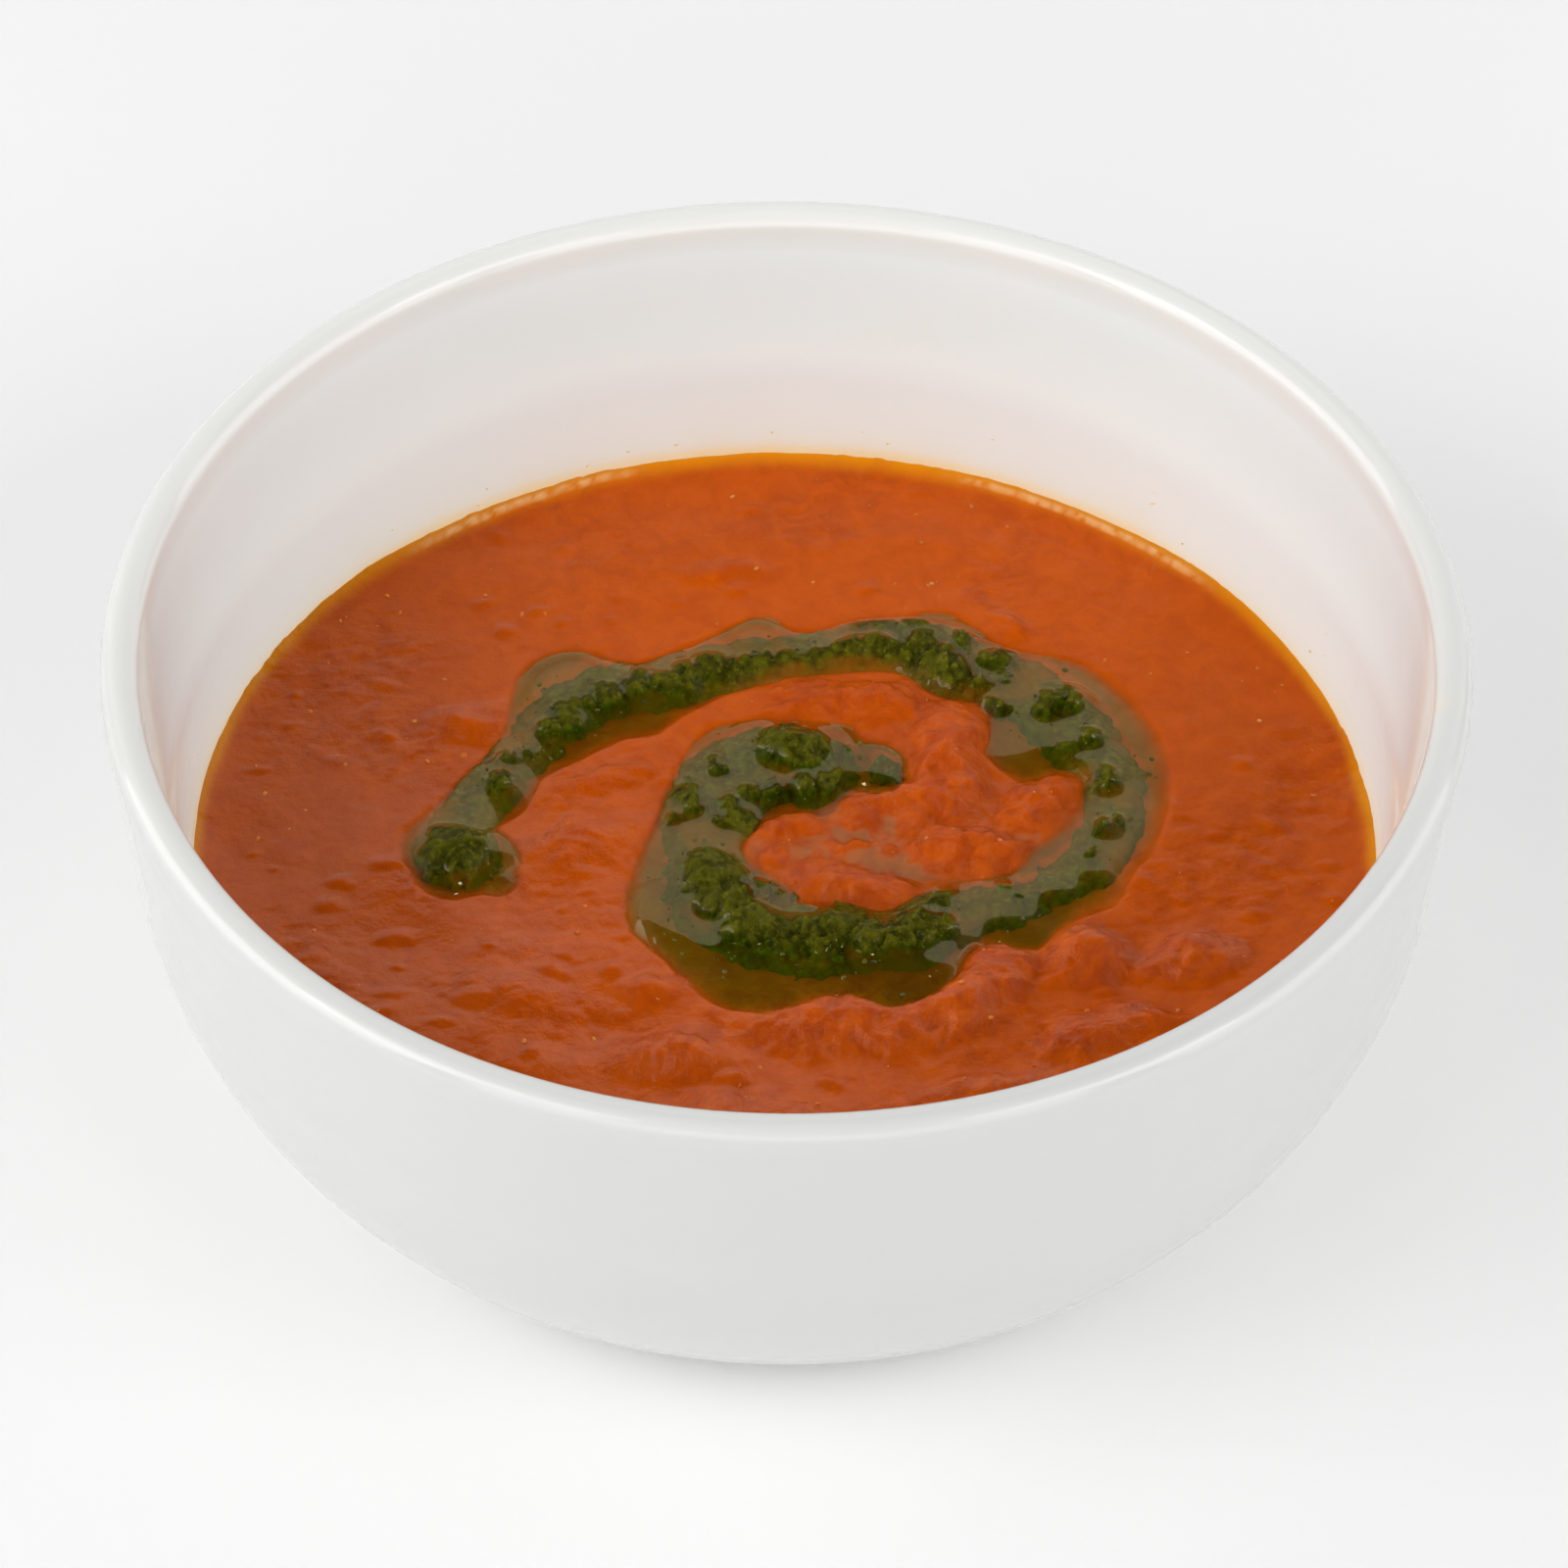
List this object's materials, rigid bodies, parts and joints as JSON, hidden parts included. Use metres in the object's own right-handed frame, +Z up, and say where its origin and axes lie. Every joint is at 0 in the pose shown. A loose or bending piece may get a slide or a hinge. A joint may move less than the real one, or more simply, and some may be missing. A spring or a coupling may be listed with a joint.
{
  "type": "tomato soup in a bowl",
  "caption": "Tomato soup filling a plain white round bowl to half its height, finished with a drizzled swirl of green pesto.",
  "frame": {"origin": "centre of the foot ring, on the surface that the bowl stands on", "axes": "+Z up along the bowl's axis; -Y towards the diner, +X to the diner's right"},
  "size_m": [0.16, 0.16, 0.0642],
  "materials": {
    "porcelain": "glossy white glaze",
    "tomato_soup": "wet, finely pulpy",
    "pesto": "wet chopped leaf in oil"
  },
  "bodies": {
    "root": {"bowl": "porcelain", "soup": "tomato_soup", "pesto_swirl": "pesto", "pesto_dab": "pesto"}
  },
  "joints": []
}
